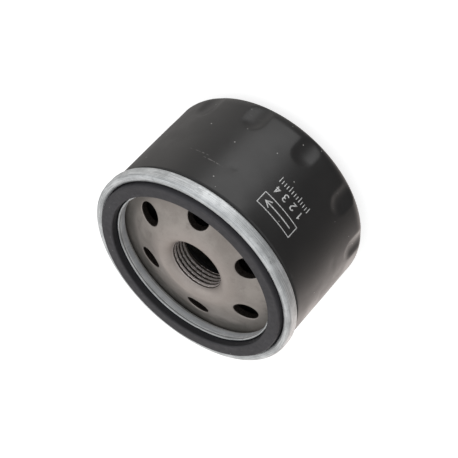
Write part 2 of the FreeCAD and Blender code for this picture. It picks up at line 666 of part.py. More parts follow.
def make_end_caps():
    """Steel end caps of the element, and the adhesive that the pleats stand in."""
    keep(turned("upper_cap", [
        ("cap_neck_bore", "hub_foot"),
        ("cap_neck_radius", "hub_foot"),
        ("cap_neck_radius", "upper_cap_top"),
        ("cap_radius", "upper_cap_top"),
        ("cap_radius", "upper_rim_end"),
        ("cap_bore", "upper_rim_end"),
        ("cap_bore", "upper_cap_under"),
        ("cap_neck_inside", "upper_cap_under"),
        ("cap_neck_inside", "cap_neck_under"),
        ("cap_neck_bore", "cap_neck_under"),
    ]), "upper_end_cap")
    keep(turned("lower_cap", [
        ("bypass_port", "element_seat"),
        ("cap_radius", "element_seat"),
        ("cap_radius", "lower_rim_end"),
        ("cap_bore", "lower_rim_end"),
        ("cap_bore", "lower_cap_top"),
        ("bypass_port", "lower_cap_top"),
    ]), "lower_end_cap")
    upper = ring("upper_glue", "bond_inside", "bond_outside", "paper_top", "upper_cap_under")
    keep(upper, "upper_bond")
    lower = ring("lower_glue", "bond_inside", "bond_outside", "lower_cap_top", "paper_foot")
    keep(lower, "lower_bond")


def make_centre_tube():
    """Perforated tube that keeps the pleats from collapsing inwards."""
    body = ring("tube", "tube_bore", "tube_radius", "lower_cap_top", "upper_cap_under")
    before = body.Shape.Volume
    rows = int(value("tube_hole_rows"))
    radius = value("tube_hole_radius")
    sketch = circles(body, "tube_hole_sketch", [], "tube_hole_radius", "XZ_Plane")
    for row in range(rows):
        height = value("paper_foot") + (row + 0.5) * value("tube_hole_step")
        middle = FreeCAD.Vector(0, height, 0)
        sketch.addGeometry(Part.Circle(middle, FreeCAD.Vector(0, 0, 1), radius), False)
        sketch.addConstraint(Sketcher.Constraint("PointOnObject", row, 3, -2))
        place = sketch.addConstraint(Sketcher.Constraint("DistanceY", -1, 1, row, 3, height))
        formula = "Places.paper_foot + %s * Places.tube_hole_step" % (row + 0.5)
        sketch.setExpression("Constraints[%d]" % place, formula)
        size = sketch.addConstraint(Sketcher.Constraint("Radius", row, radius))
        sketch.setExpression("Constraints[%d]" % size, bound("tube_hole_radius"))
    pocket = body.newObject("PartDesign::Pocket", "tube_hole")
    pocket.Profile = sketch
    pocket.Type = "ThroughAll"
    pocket.Reversed = True
    doc.recompute()
    must_cut(body, before, "the tube's holes")
    repeated(body, "tube_holes", [pocket], "tube_hole_columns")
    keep(body, "centre_tube")


def pleat_loop(side):
    """The folded paper's outer face (side 1) or inner face (side -1) as one closed wire."""
    count = int(value("pleat_count"))
    half = side * value("paper_gauge") / 2
    outer = value("pleat_outer") + half
    inner = value("pleat_inner") + half
    outer_turn = (value("pleat_outer_fold") + half) / outer
    inner_turn = (value("pleat_inner_fold") - half) / inner
    step = 2 * math.pi / count
    corners = []
    for number in range(count):
        peak = number * step
        for radius, angle in (
            (outer, peak - outer_turn),
            (outer, peak + outer_turn),
            (inner, peak + step / 2 - inner_turn),
            (inner, peak + step / 2 + inner_turn),
        ):
            corners.append(FreeCAD.Vector(
                radius * math.cos(angle), radius * math.sin(angle), value("paper_foot")))
    return Part.makePolygon(corners + corners[:1])


def make_media():
    """Pleated paper as one endless folded ribbon, and the clip over its joint."""
    faces = [Part.Face(pleat_loop(side)) for side in (1, -1)]
    paper = doc.addObject("Part::Feature", "media")
    height = FreeCAD.Vector(0, 0, value("paper_height"))
    paper.Shape = faces[0].extrude(height).cut(faces[1].extrude(height))
    keep(paper, "pleated_media")

    inside = value("pleat_outer_fold") + value("paper_gauge") / 2 + value("seam_gap")
    outside = inside + value("clip_gauge")
    back = value("pleat_outer") + value("paper_gauge") / 2 + value("seam_gap")
    foot = value("lower_rim_end") + value("clip_end_gap")
    top = value("upper_rim_end") - value("clip_end_gap")
    section = [
        (back - value("clip_depth"), inside),
        (back, inside),
        (back, -inside),
        (back - value("clip_depth"), -inside),
        (back - value("clip_depth"), -outside),
        (back + value("clip_gauge"), -outside),
        (back + value("clip_gauge"), outside),
        (back - value("clip_depth"), outside),
    ]
    corners = [FreeCAD.Vector(across, along, foot) for across, along in section]
    clip = doc.addObject("Part::Feature", "clip")
    face = Part.Face(Part.makePolygon(corners + corners[:1]))
    clip.Shape = face.extrude(FreeCAD.Vector(0, 0, top - foot))
    keep(clip, "pleat_clip")


def make_bypass():
    """Bypass valve in the lower end cap: seal, disc, stem, spring and cage."""
    keep(ring("seal", "seal_inside", "seal_radius", "lower_cap_top", "disc_under"), "bypass_seal")
    disc = turned("disc", [
        ("0", "disc_under"),
        ("disc_radius", "disc_under"),
        ("disc_radius", "disc_top"),
        ("0", "disc_top"),
    ])
    keep(disc, "bypass_disc")
    stem = turned("stem", [
        ("0", "disc_top"),
        ("stem_foot_radius", "disc_top"),
        ("stem_foot_radius", "stem_foot_top"),
        ("stem_radius", "stem_foot_top"),
        ("stem_radius", "stem_top"),
        ("0", "stem_top"),
    ])
    keep(stem, "bypass_stem")
    cage = turned("cage", [
        ("cage_flange_radius", "lower_cap_top"),
        ("cage_flange_radius", "cage_foot_top"),
        ("cage_radius", "cage_foot_top"),
        ("cage_radius", "cage_top"),
        ("guide_radius", "cage_top"),
        ("guide_radius", "cage_under"),
        ("cage_inside", "cage_under"),
        ("cage_inside", "lower_cap_top"),
    ])
    before = cage.Shape.Volume
    sketch = cage.newObject("Sketcher::SketchObject", "window_sketch")
    sketch.AttachmentSupport = (origin_plane(cage, "XZ_Plane"), [""])
    sketch.MapMode = "FlatFace"
    half = value("window_width") / 2
    low = value("window_sill")
    high = value("window_top")
    corners = [(-half, low), (half, low), (half, high), (-half, high)]
    for number in range(4):
        start = FreeCAD.Vector(corners[number][0], corners[number][1], 0)
        end = FreeCAD.Vector(corners[(number + 1) % 4][0], corners[(number + 1) % 4][1], 0)
        sketch.addGeometry(Part.LineSegment(start, end), False)
    for number in range(4):
        sketch.addConstraint(Sketcher.Constraint("Coincident", number, 2, (number + 1) % 4, 1))
    for number, kind in ((1, "Vertical"), (2, "Horizontal"), (3, "Vertical")):
        sketch.addConstraint(Sketcher.Constraint(kind, number))
    sketch.addConstraint(Sketcher.Constraint("Symmetric", 0, 1, 0, 2, -2))
    width = sketch.addConstraint(Sketcher.Constraint("DistanceX", 0, 1, 0, 2, value("window_width")))
    sketch.setExpression("Constraints[%d]" % width, bound("window_width"))
    held(sketch, "DistanceY", 0, 1, "window_sill")
    held(sketch, "DistanceY", 2, 1, "window_top")
    sketch.Visibility = False
    window = cage.newObject("PartDesign::Pocket", "window")
    window.Profile = sketch
    window.Type = "ThroughAll"
    window.Reversed = True
    doc.recompute()
    must_cut(cage, before, "the window")
    repeated(cage, "windows", [window], "window_count")
    keep(cage, "bypass_cage")

    spring = new_body("coil")
    sketch = circles(spring, "coil_wire", [("spring_radius", "spring_foot")], "spring_wire", "XZ_Plane")
    coil = spring.newObject("PartDesign::AdditiveHelix", "coil_turns")
    coil.Profile = sketch
    coil.ReferenceAxis = (sketch, ["V_Axis"])
    coil.Mode = "height-turns-angle"
    coil.setExpression("Turns", bound("spring_turns"))
    coil.setExpression("Height", bound("spring_length"))
    coil.Angle = 0.0
    doc.recompute()
    keep(spring, "bypass_spring")


def make_support_spring():
    """Pressed leaf spring that pushes the element up against the diaphragm's hub."""
    body = ring("leaf", "leaf_ring_bore", "leaf_ring_radius", "leaf_ring_under", "element_seat")
    sketch = outline(body, "leaf_leg_outline", [
        ("leaf_root_radius", "leaf_ring_under"),
        ("leaf_knee_radius", "leaf_ring_under"),
        ("leaf_foot_radius", "can_wall"),
        ("leaf_toe_radius", "can_wall"),
        ("leaf_toe_radius", "leaf_foot_top"),
        ("leaf_foot_radius + leaf_shift", "leaf_foot_top"),
        ("leaf_knee_radius + leaf_shift", "element_seat"),
        ("leaf_root_radius", "element_seat"),
    ])
    leg = body.newObject("PartDesign::Pad", "leaf_leg")
    leg.Profile = sketch
    leg.Midplane = True
    leg.setExpression("Length", bound("leaf_width"))
    doc.recompute()
    repeated(body, "leaf_legs", [leg], "leaf_count")
    keep(body, "support_spring")


def check_and_write():
    doc.recompute()
    for thing in doc.Objects:
        if "Invalid" in thing.State or "Error" in thing.State:
            raise RuntimeError("%s did not build: %s" % (thing.Label, thing.State))
    for piece in pieces:
        if piece.Shape.isNull() or not piece.Shape.isValid():
            raise RuntimeError("%s is not a valid shape" % piece.Label)
    for piece in pieces:
        piece.Shape.exportStep("parts/%s.step" % piece.Label)
        box = piece.Shape.BoundBox
        print("%-20s %d solid %9.1f mm3  z %6.2f to %6.2f" % (
            piece.Label, len(piece.Shape.Solids), piece.Shape.Volume, box.ZMin, box.ZMax))


os.makedirs("parts", exist_ok=True)
fill_sheets()
make_can()
make_lid()
make_seam_sealant()
make_gasket()
make_plate()
make_welds()
make_drainback()
make_end_caps()
make_centre_tube()
make_media()
make_bypass()
make_support_spring()
check_and_write()
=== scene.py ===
import json
import math

import bmesh
import bpy
import numpy as np
from mathutils import Matrix, Vector


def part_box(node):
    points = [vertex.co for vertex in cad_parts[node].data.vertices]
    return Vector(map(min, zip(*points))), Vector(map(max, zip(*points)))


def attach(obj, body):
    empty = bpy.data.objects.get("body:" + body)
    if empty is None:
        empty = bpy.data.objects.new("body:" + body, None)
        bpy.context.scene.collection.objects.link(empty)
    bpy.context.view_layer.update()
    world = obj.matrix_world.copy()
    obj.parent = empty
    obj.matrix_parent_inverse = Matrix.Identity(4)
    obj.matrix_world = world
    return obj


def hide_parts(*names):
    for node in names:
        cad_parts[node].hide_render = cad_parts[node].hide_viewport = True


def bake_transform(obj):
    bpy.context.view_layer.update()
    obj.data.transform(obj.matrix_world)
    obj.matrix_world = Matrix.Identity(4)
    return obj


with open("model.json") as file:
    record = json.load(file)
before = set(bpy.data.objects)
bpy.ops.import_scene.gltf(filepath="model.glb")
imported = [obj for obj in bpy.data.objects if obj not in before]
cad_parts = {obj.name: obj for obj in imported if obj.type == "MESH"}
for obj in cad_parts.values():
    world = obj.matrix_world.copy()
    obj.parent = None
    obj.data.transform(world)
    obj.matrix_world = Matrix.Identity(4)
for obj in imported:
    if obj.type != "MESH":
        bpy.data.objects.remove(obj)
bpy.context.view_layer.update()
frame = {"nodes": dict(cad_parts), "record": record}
scene = bpy.context.scene

MM = 0.001

# The CAD model's sizes in millimetres. Radii and heights are from the thread's axis and the resting plane.
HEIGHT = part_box("sealing_gasket")[1][2] / MM
SEAM_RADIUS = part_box("seaming_lid")[1][0] / MM
SEAM_PROUD = 0.9
CAN_RADIUS = SEAM_RADIUS - SEAM_PROUD
SEAM_TOP = HEIGHT - 1.2
SEAM_FOOT = HEIGHT - 5.9
CHANNEL_FLOOR = HEIGHT - 6.6
CHANNEL_OUTER = CAN_RADIUS - 2.1
LID_GAUGE = 0.6
LIP_INSIDE = 30.0
LIP_OUTSIDE = 30.6
LIP_TOP = HEIGHT - 2.4
GASKET_INSIDE = 30.95
GASKET_OUTSIDE = CHANNEL_OUTER - 0.35
FLUTE_COUNT = 12
FLUTE_TURN = math.radians(3.1)
FLUTE_AXIS = CAN_RADIUS + 8.0
FLUTE_HOLLOW = 9.0
FLUTE_CENTRE = 11.08
FLUTE_BLEND = 0.6
CAN_WALL = 0.5
PAD_RADIUS = 24
PAD_STEP = 1.3
PAD_FOOT = 28
CAN_COLUMNS = 540
LID_COLUMNS = 480
PLATE_GAUGE = 2.5
PLATE_RADIUS = CAN_RADIUS - 2.0
PLATE_EDGE_ROUND = 0.25
PLATE_RIM_TOP = CHANNEL_FLOOR - 0.9
CONE_FOOT = 28.2
CONE_SLOPE = math.tan(math.radians(18.9))
CONE_UNDER_FOOT = 27.784
MOUTH_ROUND = 3.7
MOUTH_CENTRE = (13.2, HEIGHT - 6.275)
MOUTH_EDGE = 14.3985
THREAD_BORE = 9.5
THREAD_DEPTH = 0.5
THREAD_PITCH = 1.5
THREAD_START = HEIGHT - 13.5
BOSS_RADIUS = 12.0
BOSS_END = HEIGHT - 12.0
OIL_HOLES = 6
OIL_HOLE_RADIUS = 4.1
OIL_HOLE_CIRCLE = 22.3


# ---------------------------------------------------------------- outlines and turned pieces

def soft_min(a, b, width):
    """The smaller of two values, with the change from one to the other rounded over a width."""
    blend = np.maximum(width - np.abs(a - b), 0) / width
    return np.minimum(a, b) - blend ** 2 * width / 4


def soft_max(a, b, width):
    """The larger of two values, with the change rounded in the same way."""
    return -soft_min(-a, -b, width)


def softened(corners, degrees=9.0):
    """A closed outline (r, z) from corners (r, z, round), with each round drawn as a fine arc."""
    out = []
    for number, (r, z, rounding) in enumerate(corners):
        here = np.array([r, z], float)
        if rounding == 0:
            out.append(here)
            continue
        before = np.array(corners[number - 1][:2]) - here
        after = np.array(corners[(number + 1) % len(corners)][:2]) - here
        before /= np.linalg.norm(before)
        after /= np.linalg.norm(after)
        half = math.acos(np.clip(before @ after, -1, 1)) / 2
        middle = (before + after) / np.linalg.norm(before + after)
        centre = here + middle * rounding / math.sin(half)
        start = here + before * rounding / math.tan(half) - centre
        end = here + after * rounding / math.tan(half) - centre
        first = math.atan2(start[1], start[0])
        sweep = (math.atan2(end[1], end[0]) - first + math.pi) % (2 * math.pi) - math.pi
        steps = max(3, int(abs(math.degrees(sweep)) / degrees))
        for angle in first + sweep * np.linspace(0, 1, steps + 1):
            out.append(centre + rounding * np.array([math.cos(angle), math.sin(angle)]))
    keep = [i for i in range(len(out)) if np.linalg.norm(out[i] - out[i - 1]) > 1e-5]
    return np.array([out[i] for i in keep])


def divided(outline, step, closed=True):
    """The same outline with its long runs divided into steps."""
    out = []
    last = len(outline) if closed else len(outline) - 1
    for number in range(last):
        here = outline[number]
        there = outline[(number + 1) % len(outline)]
        count = max(1, math.ceil(np.linalg.norm(there - here) / step))
        out += [here + (there - here) * k / count for k in range(count)]
    if not closed:
        out.append(outline[-1])
    return np.array(out)


def turned(outline, columns, closed=True, shape=None):
    """Points and faces of an outline turned about Z. shape changes radii and heights by angle."""
    angle = (np.arange(columns) * 2 * math.pi / columns)[None, :]
    radius = np.repeat(outline[:, :1], columns, 1)
    height = np.repeat(outline[:, 1:], columns, 1)
    if shape:
        radius, height = shape(radius, height, angle)
    points = np.stack([radius * np.cos(angle), radius * np.sin(angle), height], -1)
    return points.reshape(-1, 3), grid_faces(len(outline), columns, closed)


def grid_faces(rows, columns, close_rows=False, close_columns=True):
    """Quads of a grid of rows and columns, as an array of four point numbers."""
    first = np.arange(rows if close_rows else rows - 1)
    across = np.arange(columns if close_columns else columns - 1)
    row, column = np.meshgrid(first, across, indexing="ij")
    below = (row + 1) % rows
    beside = (column + 1) % columns
    here = row * columns
    there = below * columns
    return np.stack([here + column, here + beside, there + beside, there + column], -1).reshape(-1, 4)


def add_piece(name, parts, material, node, cut=None):
    """One object on the filter body, from several lots of points and faces, joined where they meet.
    node is the CAD node it stands for. cut is a second material, and a test on faces' middles for it."""
    points = []
    faces = []
    count = 0
    for lot, quads in parts:
        points.append(lot)
        faces.append(quads + count)
        count += len(lot)
    mesh = bpy.data.meshes.new(name)
    mesh.from_pydata((np.concatenate(points) * MM).tolist(), [], np.concatenate(faces).tolist())
    work = bmesh.new()
    work.from_mesh(mesh)
    bmesh.ops.remove_doubles(work, verts=work.verts, dist=2e-7)
    bmesh.ops.recalc_face_normals(work, faces=work.faces)
    work.to_mesh(mesh)
    work.free()
    mesh.polygons.foreach_set("use_smooth", [True] * len(mesh.polygons))
    mesh.materials.append(material)
    if cut:
        mesh.materials.append(cut[0])
        middles = np.empty(3 * len(mesh.polygons))
        mesh.polygons.foreach_get("center", middles)
        mesh.polygons.foreach_set("material_index", cut[1](middles.reshape(-1, 3) / MM).astype(int))
    piece = bpy.data.objects.new(name, mesh)
    scene.collection.objects.link(piece)
    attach(piece, "filter")
    if node:
        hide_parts(node)


# ---------------------------------------------------------------- procedural looks

class Look:
    """A node material, with short ways to add what it is made of. Lengths are in millimetres."""

    def __init__(self, name):
        self.material = bpy.data.materials.new(name)
        self.material.use_nodes = True
        self.tree = self.material.node_tree
        self.shader = self.tree.nodes["Principled BSDF"]
        where = self.add("ShaderNodeTexCoord")
        grow = self.add("ShaderNodeVectorMath", operation="SCALE")
        grow.inputs["Scale"].default_value = 1 / MM
        self.tree.links.new(where.outputs["Object"], grow.inputs[0])
        self.place = grow.outputs[0]

    def add(self, kind, **settings):
        """A node of one kind, with its properties set."""
        node = self.tree.nodes.new(kind)
        for key, setting in settings.items():
            setattr(node, key, setting)
        return node

    def fill(self, socket, source):
        """Gives a socket a constant, or links another node's output to it."""
        if isinstance(source, bpy.types.NodeSocket):
            self.tree.links.new(source, socket)
        else:
            socket.default_value = source

    def math(self, operation, *sources):
        node = self.add("ShaderNodeMath", operation=operation)
        for socket, source in zip(node.inputs, sources):
            self.fill(socket, source)
        return node.outputs[0]

    def noise(self, scale, detail=3.0, roughness=0.5, place=None):
        """Cloudy noise, with scale as its features per millimetre."""
        node = self.add("ShaderNodeTexNoise")
        self.fill(node.inputs["Vector"], place or self.place)
        node.inputs["Scale"].default_value = scale
        node.inputs["Detail"].default_value = detail
        node.inputs["Roughness"].default_value = roughness
        return node.outputs["Fac"]

    def cells(self, scale):
        """Distance to the nearest of many scattered points, in cell widths."""
        node = self.add("ShaderNodeTexVoronoi")
        self.fill(node.inputs["Vector"], self.place)
        node.inputs["Scale"].default_value = scale
        return node.outputs["Distance"]

    def ramp(self, factor, low, high, start=0.0, end=1.0):
        """A value that goes from start to end as the factor goes from low to high."""
        node = self.add("ShaderNodeMapRange", clamp=True, interpolation_type="SMOOTHSTEP")
        self.fill(node.inputs["Value"], factor)
        for socket, number in zip(("From Min", "From Max", "To Min", "To Max"), (low, high, start, end)):
            node.inputs[socket].default_value = number
        return node.outputs["Result"]

    def mix(self, factor, first, second):
        """A colour between two others."""
        node = self.add("ShaderNodeMix", data_type="RGBA")
        self.fill(node.inputs["Factor"], factor)
        self.fill(node.inputs[6], (*first, 1) if isinstance(first, tuple) else first)
        self.fill(node.inputs[7], (*second, 1) if isinstance(second, tuple) else second)
        return node.outputs[2]

    def radius(self):
        """Distance from the thread's axis."""
        flat = self.add("ShaderNodeVectorMath", operation="MULTIPLY")
        self.fill(flat.inputs[0], self.place)
        flat.inputs[1].default_value = (1, 1, 0)
        length = self.add("ShaderNodeVectorMath", operation="LENGTH")
        self.fill(length.inputs[0], flat.outputs[0])
        return length.outputs["Value"]

    def parts(self):
        """X, Y and Z in millimetres."""
        split = self.add("ShaderNodeSeparateXYZ")
        self.fill(split.inputs[0], self.place)
        return split.outputs

    def spun(self, radial, along):
        """Places whose noise runs in streaks round the axis, fine across the radius and the height."""
        parts = self.parts()
        joined = self.add("ShaderNodeCombineXYZ")
        self.fill(joined.inputs[0], self.math("MULTIPLY", self.radius(), radial))
        self.fill(joined.inputs[1], self.math("MULTIPLY", parts[2], radial))
        wander = self.math("ADD", parts[0], self.math("MULTIPLY", parts[1], 0.73))
        self.fill(joined.inputs[2], self.math("MULTIPLY", wander, along))
        return joined.outputs[0]

    def scratch(self, height, width, start, end):
        """A fine mark along the wall at one height, between two azimuths in degrees, broken by noise."""
        parts = self.parts()
        azimuth = self.math("DEGREES", self.math("ARCTAN2", parts[1], parts[0]))
        slanted = self.math("ADD", parts[2], self.math("MULTIPLY", azimuth, 0.035))
        line = self.ramp(self.math("ABSOLUTE", self.math("SUBTRACT", slanted, height)), width, width * 0.4)
        ends = self.math("MULTIPLY", self.ramp(azimuth, start, start + 3), self.ramp(azimuth, end, end - 3))
        broken = self.ramp(self.noise(0.5, 4, 0.6), 0.42, 0.55)
        return self.math("MULTIPLY", self.math("MULTIPLY", line, ends), broken)

    def bumps(self, *layers):
        """Bumps stacked in order: each is (height source, depth in millimetres)."""
        normal = None
        for source, depth in layers:
            node = self.add("ShaderNodeBump")
            node.inputs["Strength"].default_value = 1.0
            node.inputs["Distance"].default_value = depth * MM
            self.fill(node.inputs["Height"], source)
            if normal:
                self.fill(node.inputs["Normal"], normal)
            normal = node.outputs[0]
        self.fill(self.shader.inputs["Normal"], normal)

    def finish(self, colour, roughness, metallic=0.0):
        """Fills the shader and gives the finished material."""
        self.fill(self.shader.inputs["Base Color"], colour)
        self.fill(self.shader.inputs["Roughness"], roughness)
        self.fill(self.shader.inputs["Metallic"], metallic)
        return self.material


def can_paint():
    """Satin black enamel with scuffed streaks, dust specks and two scratches."""
    look = Look("can_paint")
    broad = look.noise(0.05, 4)
    colour = look.mix(broad, (0.020, 0.0193, 0.0192), (0.031, 0.0298, 0.0292))
    scuffs = look.ramp(look.noise(1.0, 6, 0.6, look.spun(0.9, 0.10)), 0.62, 0.78)
    patches = look.ramp(look.noise(0.06, 3), 0.52, 0.66)
    worn = look.math("MULTIPLY", scuffs, patches)
    colour = look.mix(look.math("MULTIPLY", worn, 0.45), colour, (0.16, 0.155, 0.15))
    spots = look.ramp(look.cells(0.30), 0.085, 0.045)
    chosen = look.ramp(look.noise(0.21, 2), 0.52, 0.56)
    dust = look.math("MULTIPLY", spots, chosen)
    colour = look.mix(look.math("MULTIPLY", dust, 0.8), colour, (0.50, 0.49, 0.47))
    marks = look.math("MAXIMUM", look.scratch(35.7, 0.22, 57, 70), look.scratch(34.4, 0.20, 66, 80))
    colour = look.mix(look.math("MULTIPLY", marks, 0.6), colour, (0.26, 0.25, 0.24))
    rough = look.ramp(look.noise(0.11, 5), 0.3, 0.7, 0.30, 0.40)
    rough = look.math("ADD", rough, look.math("MULTIPLY", worn, 0.15))
    look.bumps((look.noise(0.9, 3, 0.5), 0.010), (look.noise(4.5, 2, 0.5), 0.0025))
    return look.finish(colour, rough)


def zinc_plate():
    """Zinc-plated sheet, streaked and stained, with painted shade in the groove under the lip's rolled edge
    and at the lip's foot, and a paler band of painted light across the lip's inner wall.
    """
    look = Look("zinc_plate")
    streaks = look.noise(1.0, 6, 0.62, look.spun(5.0, 0.12))
    broad = look.noise(0.16, 5, 0.6)
    grain = look.noise(3.2, 4, 0.6)
    tone = look.math("ADD", look.math("MULTIPLY", streaks, 0.68), look.math("MULTIPLY", broad, 0.32))
    colour = look.mix(look.ramp(tone, 0.39, 0.61), (0.46, 0.475, 0.48), (0.86, 0.875, 0.88))
    stains = look.ramp(look.noise(0.5, 6, 0.65), 0.58, 0.72)
    colour = look.mix(look.math("MULTIPLY", stains, 0.55), colour, (0.34, 0.35, 0.36))
    height = look.parts()[2]
    on_lip = look.ramp(look.radius(), LIP_OUTSIDE - 0.1, LIP_OUTSIDE - 0.3)
    from_groove = look.math("ABSOLUTE", look.math("SUBTRACT", height, LIP_TOP - 0.82))
    lip_foot = look.ramp(height, LIP_TOP - 3.2, LIP_TOP - 4.2)
    # painted shade: darker in the groove under the lip's rolled edge and at the lip's foot, where shade
    # falls
    lip_groove_and_foot_shade = look.math("MULTIPLY", on_lip, look.math("MAXIMUM", look.ramp(from_groove, 0.22, 0.08), lip_foot))
    # painted light: a paler band across the middle of the lip's inner wall
    lip_middle = look.math(
        "MULTIPLY",
        look.ramp(height, LIP_TOP - 1.2, LIP_TOP - 2.0),
        look.ramp(height, LIP_TOP - 3.6, LIP_TOP - 2.6),
    )
    pale = look.math("MULTIPLY", on_lip, lip_middle)
    colour = look.mix(look.math("MULTIPLY", pale, 0.5), colour, (0.60, 0.635, 0.69))
    colour = look.mix(look.math("MULTIPLY", lip_groove_and_foot_shade, 0.72), colour, (0.10, 0.107, 0.12))
    rough = look.ramp(look.math("ADD", streaks, look.math("MULTIPLY", grain, 0.4)), 0.5, 0.9, 0.42, 0.58)
    look.bumps((streaks, 0.020), (grain, 0.010))
    return look.finish(colour, rough, 0.55)


def plate_steel():
    """Oily steel, with painted light round the hub, a painted highlight on the thread's crests and painted
    shade in the corner at the lip.
    """
    look = Look("plate_steel")
    streaks = look.noise(1.0, 5, 0.6, look.spun(3.2, 0.08))
    broad = look.noise(0.10, 5, 0.6)
    grain = look.noise(2.6, 4, 0.55)
    colour = look.mix(look.ramp(broad, 0.33, 0.67), (0.34, 0.305, 0.28), (0.44, 0.402, 0.372))
    rubbed = look.math("MULTIPLY", look.ramp(streaks, 0.50, 0.80), 0.18)
    colour = look.mix(rubbed, colour, (0.50, 0.475, 0.445))
    oil = look.ramp(look.noise(0.22, 6, 0.6), 0.55, 0.70)
    colour = look.mix(look.math("MULTIPLY", oil, 0.35), colour, (0.20, 0.18, 0.16))
    radius = look.radius()
    # painted light: the plate is paler round the hub
    hub = look.ramp(radius, 19.0, 13.5)
    colour = look.mix(look.math("MULTIPLY", hub, 0.45), colour, (0.54, 0.475, 0.44))
    # painted highlight on the thread's crests; the same mask also makes the crests smoother
    crest = look.ramp(radius, THREAD_BORE + 0.55, THREAD_BORE + 0.05)
    colour = look.mix(look.math("MULTIPLY", crest, 0.9), colour, (0.97, 0.89, 0.86))
    # painted shade: darker in the corner next to the lip, where shade falls
    patchy = look.ramp(look.noise(0.08, 4), 0.25, 0.6, 0.35, 0.75)
    lip_corner_shade = look.math("MULTIPLY", look.ramp(radius, 25.5, 29.0), patchy)
    colour = look.mix(lip_corner_shade, colour, (0.155, 0.150, 0.138))
    rough = look.math("SUBTRACT", look.ramp(grain, 0.3, 0.7, 0.44, 0.56), look.math("MULTIPLY", crest, 0.16))
    look.bumps((streaks, 0.003), (grain, 0.008))
    return look.finish(colour, rough, 0.6)


def cut_steel_and_painted_shade():
    """Bare cut faces, dark partly from oil on the bare steel and partly from painted shade: the oil holes'
    walls and the thread's groove.
    """
    look = Look("cut_steel_and_painted_shade")
    drawn = look.noise(1.0, 5, 0.6, look.spun(3.0, 0.10))
    # painted shade: this dark colour stands for the shade inside the holes and the groove, as well as the
    # darker bare steel
    colour = look.mix(look.ramp(drawn, 0.3, 0.7), (0.045, 0.036, 0.031), (0.10, 0.083, 0.073))
    look.bumps((drawn, 0.012), (look.noise(3.0, 4, 0.6), 0.008))
    return look.finish(colour, look.ramp(drawn, 0.3, 0.7, 0.30, 0.42), 0.75)


def gasket_rubber():
    """Cut rubber with a pale bloom on its face, painted shade making its inner edge near black, and a few
    specks.
    """
    look = Look("gasket_rubber")
    broad = look.noise(0.09, 4)
    colour = look.mix(broad, (0.031, 0.029, 0.033), (0.050, 0.048, 0.054))
    bloom = look.ramp(look.noise(1.0, 6, 0.65, look.spun(0.8, 0.15)), 0.55, 0.75)
    colour = look.mix(look.math("MULTIPLY", bloom, 0.30), colour, (0.12, 0.118, 0.13))
    # painted shade: the inner edge of the face is made near black, where shade falls between the gasket and
    # the lip
    by_bore = look.ramp(look.radius(), GASKET_INSIDE + 1.05, GASKET_INSIDE + 0.25)
    inner = look.math("MULTIPLY", by_bore, look.ramp(look.parts()[2], HEIGHT - 0.05, HEIGHT - 0.45))
    colour = look.mix(look.math("MULTIPLY", inner, 0.85), colour, (0.010, 0.010, 0.013))
    spots = look.ramp(look.cells(0.5), 0.09, 0.05)
    chosen = look.ramp(look.noise(0.27, 2), 0.57, 0.61)
    dust = look.math("MULTIPLY", spots, chosen)
    colour = look.mix(look.math("MULTIPLY", dust, 0.6), colour, (0.45, 0.45, 0.45))
    rough = look.ramp(look.noise(0.6, 4), 0.3, 0.7, 0.50, 0.64)
    look.bumps((look.noise(1.0, 4, 0.6, look.spun(2.0, 0.10)), 0.012), (look.noise(6.0, 3), 0.006))
    return look.finish(colour, rough)


def valve_rubber():
    """Moulded black rubber."""
    look = Look("valve_rubber")
    colour = look.mix(look.noise(0.2, 4), (0.010, 0.010, 0.011), (0.022, 0.021, 0.022))
    flow = look.noise(1.0, 4, 0.6, look.spun(1.4, 0.08))
    rough = look.ramp(flow, 0.3, 0.7, 0.34, 0.55)
    look.bumps((flow, 0.02), (look.noise(5.0, 3), 0.005))
    return look.finish(colour, rough)


def dull_metal(name, dark, light, fine=2.4):
    """Plated or oiled sheet and wire inside the can."""
    look = Look(name)
    broad = look.noise(0.14, 5, 0.6)
    grain = look.noise(fine, 4, 0.6)
    drawn = look.noise(1.0, 5, 0.6, look.spun(2.5, 0.08))
    tone = look.math("ADD", look.math("MULTIPLY", broad, 0.6), look.math("MULTIPLY", drawn, 0.4))
    colour = look.mix(look.ramp(tone, 0.35, 0.65), dark, light)
    rough = look.ramp(grain, 0.3, 0.7, 0.38, 0.55)
    look.bumps((drawn, 0.010), (grain, 0.006))
    return look.finish(colour, rough, 0.85)


def soft_filler(name, dark, light, fine, rough):
    """Cured sealant and adhesive."""
    look = Look(name)
    swirl = look.noise(0.35, 5, 0.65)
    colour = look.mix(look.ramp(swirl, 0.3, 0.7), dark, light)
    look.bumps((swirl, 0.06), (look.noise(fine, 4, 0.6), 0.02))
    return look.finish(colour, look.ramp(swirl, 0.3, 0.7, rough - 0.08, rough + 0.08))


def filter_paper():
    """Resin-treated pleated paper."""
    look = Look("filter_paper")
    fibre = look.noise(2.2, 8, 0.7)
    resin = look.noise(0.18, 4)
    colour = look.mix(look.ramp(resin, 0.3, 0.7), (0.56, 0.42, 0.19), (0.74, 0.60, 0.32))
    colour = look.mix(look.math("MULTIPLY", look.ramp(fibre, 0.5, 0.75), 0.4), colour, (0.40, 0.29, 0.13))
    look.bumps((fibre, 0.05))
    return look.finish(colour, 0.82)


def marking_ink():
    """Pale printing ink, thin in places."""
    look = Look("marking_ink")
    thin = look.ramp(look.noise(1.6, 5, 0.65), 0.35, 0.70)
    colour = look.mix(thin, (0.78, 0.78, 0.77), (0.46, 0.46, 0.455))
    look.bumps((look.noise(5.0, 3), 0.004))
    return look.finish(colour, look.ramp(look.noise(2.0, 3), 0.3, 0.7, 0.48, 0.62))


